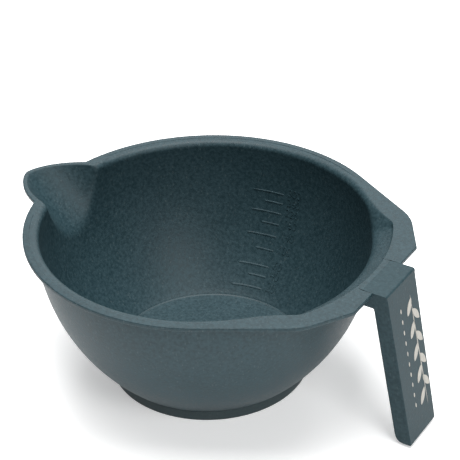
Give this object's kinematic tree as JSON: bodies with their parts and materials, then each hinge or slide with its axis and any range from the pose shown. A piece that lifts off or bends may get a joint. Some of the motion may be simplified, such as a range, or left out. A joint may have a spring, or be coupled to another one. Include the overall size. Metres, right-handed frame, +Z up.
{
  "type": "hair color bowl",
  "caption": "Round mixing bowl for hair colour, with a pouring spout, a level rim, a leaning grip beside it and a non-slip foot ring.",
  "frame": {"origin": "middle of the object's footprint, on the table that the foot ring stands on; the bowl's own axis is 5.1 mm towards -X from it", "axes": "+Z up, +X from the bowl towards the grip, the spout points to -X"},
  "size_m": [0.1702, 0.133, 0.0616],
  "materials": {
    "bowl_plastic": "satin moulded plastic, dark petrol, with fine pale flecks",
    "handle_plastic": "satin moulded plastic, dark petrol, with fine pale flecks",
    "foot_rubber": "matt soft rubber, darker than the bowl"
  },
  "bodies": {
    "root": {"bowl": "bowl_plastic", "handle": "handle_plastic", "foot_ring": "foot_rubber"}
  },
  "joints": []
}
